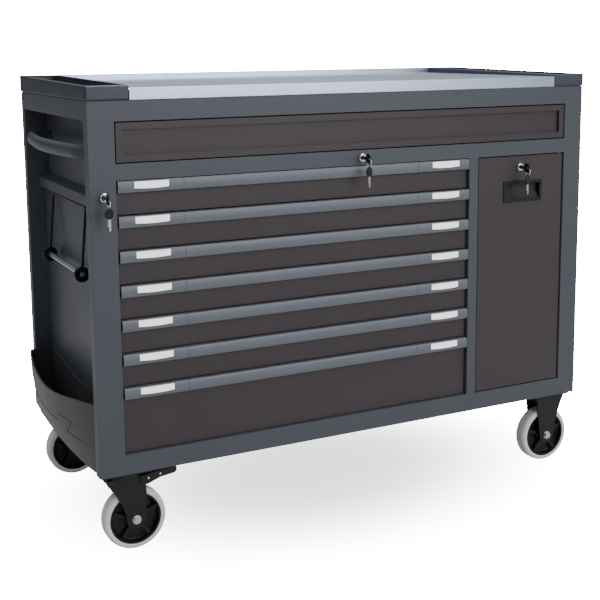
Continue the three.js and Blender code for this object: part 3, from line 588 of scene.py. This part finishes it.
pull_plastic = finish(
    "pull plastic",
    grain,
    {"Color": (0.096, 0.104, 0.126, 1), "Grains per metre": 1400.0, "Clouding": 0.05, "Roughness": 0.42},
    0.00005,
    edge=(0.26, 0.28, 0.31, 1),
)
# The card glows faintly from its own emission, a painted light that makes it a brighter white than the lamps
# alone do.
card_stock = finish(
    "white card",
    grain,
    {"Color": (0.93, 0.94, 0.95, 1), "Grains per metre": 2200.0, "Clouding": 0.03, "Roughness": 0.6},
    0.00003,
    Emission_Color=(1, 1, 1, 1),
    Emission_Strength=0.62,
)
low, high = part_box("drawer_pull_1")
profile = [
    (24.5, -2), (24.5, 0), (2.6, 0), (1.5, -0.9), (0.7, -4), (0.2, -8), (0, -12), (0.2, -16), (0.7, -20),
    (1.4, -23), (2.4, -24), (4, -24), (4, -22.2), (3.1, -22), (2.2, -16), (2, -12), (2.2, -8), (3, -3),
]  # millimetres behind the pull's face and below its top
holder = 0.141
joint = 0.0005
lengths = []
for start, end in (
    (low.x, low.x + holder),
    (low.x + holder + joint, high.x - holder - joint),
    (high.x - holder, high.x),
):
    outline = [(start, low.y + y / 1000, high.z + z / 1000) for y, z in profile]
    lengths.append(swept("pull length", outline, (end - start, 0, 0)))
pull = merged("pull", lengths)
soften(pull, 0.0004, 2, 50)
card_width, card_face = 0.0735, low.y - 0.0003
cards = []
for start in (low.x + 0.0345, high.x - 0.1025):
    lower = [(t / 8, 0.0152 + 0.0016 * math.sin(math.pi * t / 8)) for t in range(9)]
    outline = [(start, card_face, high.z - 0.0022), (start + card_width, card_face, high.z - 0.0022)]
    outline += [(start + card_width * (1 - t), card_face, high.z - drop) for t, drop in lower]
    cards.append(swept("card", outline, (0, 0.0008, 0)))
card_pair = merged("cards", cards)
for node in drawers:
    name = node.replace("drawer", "drawer_pull")
    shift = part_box(name)[1] - high
    fit(moved_copy(pull, name + "_moulded", shift), node, "pull_plastic", pull_plastic, name)
    fit(moved_copy(card_pair, node + "_cards", shift), node, "pull_plastic", card_stock)
for spare in (pull, card_pair):
    bpy.data.objects.remove(spare)


# ------------------------------------------------------------------ slides and liners
# Ball slides of zinc-plated steel: the fixed members stand on uprights inside the cabinet, and the moving
# ones ride on the drawers' sides. A ribbed black liner lies on the floor of each drawer.
for node in ("slide_rack_left", "slide_rack_right", "wide_slide_right"):
    rack = refined(node, node + "_rolled")
    soften(rack, 0.0005)
    fit(rack, "cabinet", "zinc", bright_zinc, node)

box_inset = 0.0107
member_start, member_length, member_drop = 0.03, 0.45, 0.0039
channel = [(0, -10), (0, 10), (1.5, 10), (1.5, 8.4), (0.6, 8.4), (0.6, -8.4), (1.5, -8.4), (1.5, -10)]
liner_gap, liner_level, liner_back = 0.0035, 0.0056, 0.0025
liner_sheet, rib_top, rib_pitch = 0.0012, 0.0018, 0.012


def slide_members(node):
    """The moving members on a drawer's two sides, as one piece."""
    low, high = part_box(node)
    level = (low.z + high.z) / 2 - member_drop
    members = []
    for side, out in ((low.x + box_inset, -1), (high.x - box_inset, 1)):
        outline = [(side + out * x / 1000, low.y + member_start, level + z / 1000) for x, z in channel]
        members.append(swept("member", outline, (0, member_length, 0)))
    pair = merged(node + "_slide_members", members)
    soften(pair, 0.0002, 1, 50)
    return pair


def ribbed_liner(node, behind_front):
    """A sheet over a drawer's floor, with low ribs that run from front to back."""
    low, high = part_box(node)
    start, stop = low.x + box_inset + liner_gap, high.x - box_inset - liner_gap
    front_edge = low.y + behind_front
    under = low.z + liner_level
    steps = int((stop - start) / rib_pitch)
    width = (stop - start) / steps
    section = [(start, under)]
    for i in range(steps):
        x = start + i * width
        section += [(x, under + liner_sheet), (x + width * 0.45, under + liner_sheet)]
        section += [(x + width * 0.5, under + rib_top), (x + width * 0.95, under + rib_top)]
    section += [(stop, under + liner_sheet), (stop, under)]
    outline = [(x, front_edge, z) for x, z in section]
    liner = swept(node + "_liner", outline, (0, high.y - liner_back - front_edge, 0))
    smooth(liner, 20)
    return liner


for node in ["wide_drawer"] + drawers:
    fit(slide_members(node), node, "zinc", bright_zinc)
    behind_front = 0.0115 if node == "wide_drawer" else 0.0145
    fit(ribbed_liner(node, behind_front), node, "black_plastic", black_plastic)


# ------------------------------------------------------------------ cupboard door
# A charcoal pan that turns on a zinc-plated rod. A black moulded cup is let into it, whose lower lip
# slopes in.
rod = refined("door_hinge_rod", "door_hinge_rod_drawn")
soften(rod, 0.0004, 2, 50)
fit(rod, "cabinet", "zinc", bright_zinc, "door_hinge_rod")

leaf = refined("door_panel", "door_panel_folded")
soften(leaf, 0.0005)
fit(leaf, "door", "front_paint", front_coat, "door_panel")
cup = refined("door_pull", "door_pull_moulded")
round_edges(cup, 0.005, 5, on_corners("door_pull", 0, 2))
soften(cup, 0.0006)
fit(cup, "door", "black_plastic", black_plastic, "door_pull")


# ------------------------------------------------------------------ locks and keys
# Polished barrels. Each has a flat key with a black head, and a ring through the head from which a
# second key hangs.
chrome = finish(
    "polished chrome",
    grain,
    {"Color": (0.8, 0.81, 0.83, 1), "Grains per metre": 300.0, "Clouding": 0.05, "Roughness": 0.13},
    0.00001,
    Metallic=1.0,
)
ring_radius, ring_wire = 0.009, 0.0008
across, through = Vector((0.9, 0.436, 0)), Vector((-0.436, 0.9, 0))
key_head = [(11 * math.sin(a), -8.5 + 11 * math.cos(a)) for a in (math.radians(15 * i) for i in range(24))]
key_blade = [(-3.5, -16), (3.5, -16), (3.5, -41), (0.5, -44), (-2, -41), (-1.4, -36), (-3.5, -33)]


def flat_outline(points, hung, front):
    """An outline in millimetres as a flat one that hangs from a point, turned a little to the right."""
    return [hung + across * u / 1000 + Vector((0, 0, v / 1000)) + through * front for u, v in points]


for name, body in (("left", "cabinet"), ("middle", "cabinet"), ("door", "door")):
    barrel = refined("lock_barrel_" + name, f"lock_barrel_{name}_turned")
    soften(barrel, 0.0004, 2, 40)
    fit(barrel, body, "chrome", chrome, "lock_barrel_" + name)
    key = refined("lock_key_" + name, f"lock_key_{name}_cut")
    soften(key, 0.0005, 2, 50)
    fit(key, "key_" + name, "black_plastic", black_plastic, "lock_key_" + name)
    low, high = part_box("lock_key_" + name)
    hole = Vector(((low.x + high.x) / 2, low.y + 0.007, (low.z + high.z) / 2))
    circle = []
    for i in range(19):
        a = math.radians(20 * i)
        y, z = ring_radius * math.sin(a), ring_radius * math.cos(a)
        circle.append((hole.x, hole.y + y, hole.z - 0.0085 + z))
    ring = wire("key ring", circle, ring_wire, cyclic=True)
    hung = hole - Vector((0, 0, 0.0205))
    spare_head = swept(f"hanging_key_{name}_head", flat_outline(key_head, hung, -0.0013), through * 0.0026)
    soften(spare_head, 0.0005, 2, 50)
    blade = swept("blade", flat_outline(key_blade, hung, -0.0007), through * 0.0014)
    metal = merged(f"hanging_key_{name}_metal", [ring, blade])
    fit(metal, body, "chrome", chrome)
    fit(spare_head, body, "black_plastic", black_plastic)


# ------------------------------------------------------------------ castors
# Black forks of pressed sheet, black moulded wheel centres with five spokes, pale grey rubber tyres and
# zinc-plated bolts. Only the front left one has a brake pedal, held in two cheeks with two rivets.
black_coat = finish(
    "black powder coat",
    grain,
    {"Color": (0.0075, 0.0075, 0.0082, 1), "Grains per metre": 1000.0, "Clouding": 0.1, "Roughness": 0.4},
    0.00006,
    edge=(0.04, 0.04, 0.045, 1),
    Specular_IOR_Level=0.3,
)
pale_rubber = finish(
    "pale rubber",
    grain,
    {"Color": (0.6, 0.62, 0.65, 1), "Grains per metre": 700.0, "Clouding": 0.1, "Roughness": 0.6},
    0.00015,
)
corners = ["front_left", "rear_left", "front_right", "rear_right"]
turning = {c: "swivel_" + c if "left" in c else "cabinet" for c in corners}
low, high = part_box("wheel_tyre_front_left")
centre = (low + high) / 2
outer, half = (high.x - low.x) / 2, (high.y - low.y) / 2
hub_low, hub_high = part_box("wheel_hub_front_left")
bore = (hub_high.x - hub_low.x) / 2
hub_half = (hub_high.y - hub_low.y) / 2


def mirrored(profile):
    """The profile and its mirror image across the wheel's middle, closed."""
    return profile + [(r, -y) for r, y in reversed(profile)] + [profile[0]]


tread = [
    (bore + 0.0003, half - 0.0012),
    (outer - 0.009, half),
    (outer - 0.0055, half - 0.0004),
    (outer - 0.0026, half - 0.0022),
    (outer - 0.0009, half - 0.0052),
    (outer, half - 0.009),
    (outer, half - 0.013),
]
tyre = spun("tyre", mirrored(tread), centre, 64)
smooth(tyre, 50)
middle = [
    (0.0053, hub_half),
    (0.0135, hub_half),
    (0.015, hub_half - 0.0012),
    (0.0158, 0.0062),
    (0.0182, 0.004),
    (bore - 0.0085, 0.004),
    (bore - 0.006, 0.0062),
    (bore - 0.0048, half - 0.0022),
    (bore - 0.004, half - 0.0012),
    (bore, half - 0.0012),
]
hub = spun("hub", mirrored(middle), centre, 64)
smooth(hub, 32)
spoke_half = 0.0138
spoke_outline = [(0.012, 0.0036), (bore - 0.006, 0.0052), (bore - 0.006, -0.0052), (0.012, -0.0036)]
spokes = []
for i in range(5):
    angle = math.radians(72 * i + 20)
    along = Vector((math.cos(angle), 0, math.sin(angle)))
    aside = Vector((-math.sin(angle), 0, math.cos(angle)))
    outline = [centre + along * r + aside * w + Vector((0, spoke_half, 0)) for r, w in spoke_outline]
    spoke = swept("spoke", outline, (0, -2 * spoke_half, 0))
    soften(spoke, 0.001, 3)
    spokes.append(spoke)
hub = merged("hub", [hub] + spokes)
low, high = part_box("castor_axle_front_left")
bolt_half = (high.y - low.y) / 2
across_flats, head_height, washer_sheet = 0.0147, 0.0055, 0.0009
head_radius = across_flats / math.sqrt(3)
bolts = []
for side in (-1, 1):
    head = []
    for i in range(6):
        a = math.radians(60 * i + 12)
        x, z = head_radius * math.cos(a), head_radius * math.sin(a)
        head.append(centre + Vector((x, side * (bolt_half - head_height), z)))
    end = swept("bolt head", head, (0, side * head_height, 0))
    soften(end, 0.0009, 3)
    inner = side * (bolt_half - 0.0061)
    face = inner + side * washer_sheet
    ring = [(0.004, inner), (0.0098, inner), (0.0098, face), (0.004, face)]
    washer = spun("washer", ring + ring[:1], centre, 40)
    smooth(washer, 30)
    bolts += [end, washer]
shank_half = bolt_half - 0.003
shank = [(0, -shank_half), (0.005, -shank_half), (0.005, shank_half), (0, shank_half)]
shank = spun("bolt shank", shank, centre, 32)
smooth(shank, 35)
bolt = merged("bolt", bolts + [shank])
for c in corners:
    low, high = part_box("wheel_tyre_" + c)
    shift = (low + high) / 2 - centre
    rim = moved_copy(tyre, f"wheel_tyre_{c}_moulded", shift)
    fit(rim, "wheel_" + c, "tyre", pale_rubber, "wheel_tyre_" + c)
    wheel = moved_copy(hub, f"wheel_hub_{c}_moulded", shift)
    fit(wheel, "wheel_" + c, "black_plastic", black_plastic, "wheel_hub_" + c)
    turned = moved_copy(bolt, f"castor_axle_{c}_turned", shift)
    fit(turned, turning[c], "zinc", bright_zinc, "castor_axle_" + c)
    fork = refined("castor_fork_" + c, f"castor_fork_{c}_pressed")
    soften(fork, 0.0009, 3, 40)
    fit(fork, turning[c], "black_paint", black_coat, "castor_fork_" + c)
    if "left" in c:
        plate = refined("castor_plate_" + c, f"castor_plate_{c}_pressed")
        soften(plate, 0.0006, 2, 40)
        fit(plate, "cabinet", "black_paint", black_coat, "castor_plate_" + c)
for spare in (tyre, hub, bolt):
    bpy.data.objects.remove(spare)

# The pedal's tread plate starts clear of the fork; its cheeks run back outside the fork's sides.
low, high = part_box("brake_pedal")
y = (low.y + high.y) / 2
cheek_in, cheek_sheet, tread_half = 0.0246, 0.0022, 0.0245
cheek = [(-6, 9), (-6, -6), (4, -11), (14, -9), (38, 0), (70, 4), (76, 8), (76, 15), (70, 18), (30, 15)]
pads = []
for side in (-1, 1):
    outline = [(low.x + a / 1000, y + side * cheek_in, low.z + b / 1000) for a, b in cheek]
    pad = swept("cheek", outline, (0, side * cheek_sheet, 0))
    soften(pad, 0.0007, 2)
    pads.append(pad)
profile = [(10, 2), (46, 2), (66, 6), (76, 10), (78, 13), (76, 17), (68, 18), (44, 13), (10, 10)]
outline = [(low.x + a / 1000, y - tread_half, low.z + b / 1000) for a, b in profile]
pad = swept("tread plate", outline, (0, 2 * tread_half, 0))
round_edges(pad, 0.003, 4, lambda end: end.x > low.x + 0.06)
soften(pad, 0.0008, 2)
pedal = merged("brake_pedal_pressed", pads + [pad])
fit(pedal, "brake_pedal", "black_paint", black_coat, "brake_pedal")
rivets = []
for a, b in ((12, 3), (38, 8)):
    spot = Vector((low.x + a / 1000, y - cheek_in - cheek_sheet, low.z + b / 1000))
    dome = [(0, -0.0014), (0.0012, -0.0013), (0.0024, -0.0006), (0.0029, 0.0), (0.0029, 0.0004), (0, 0.0004)]
    rivets.append(spun("rivet", dome, spot, 24))
    smooth(rivets[-1], 40)
fit(merged("brake_rivets", rivets), "brake_pedal", "zinc", bright_zinc)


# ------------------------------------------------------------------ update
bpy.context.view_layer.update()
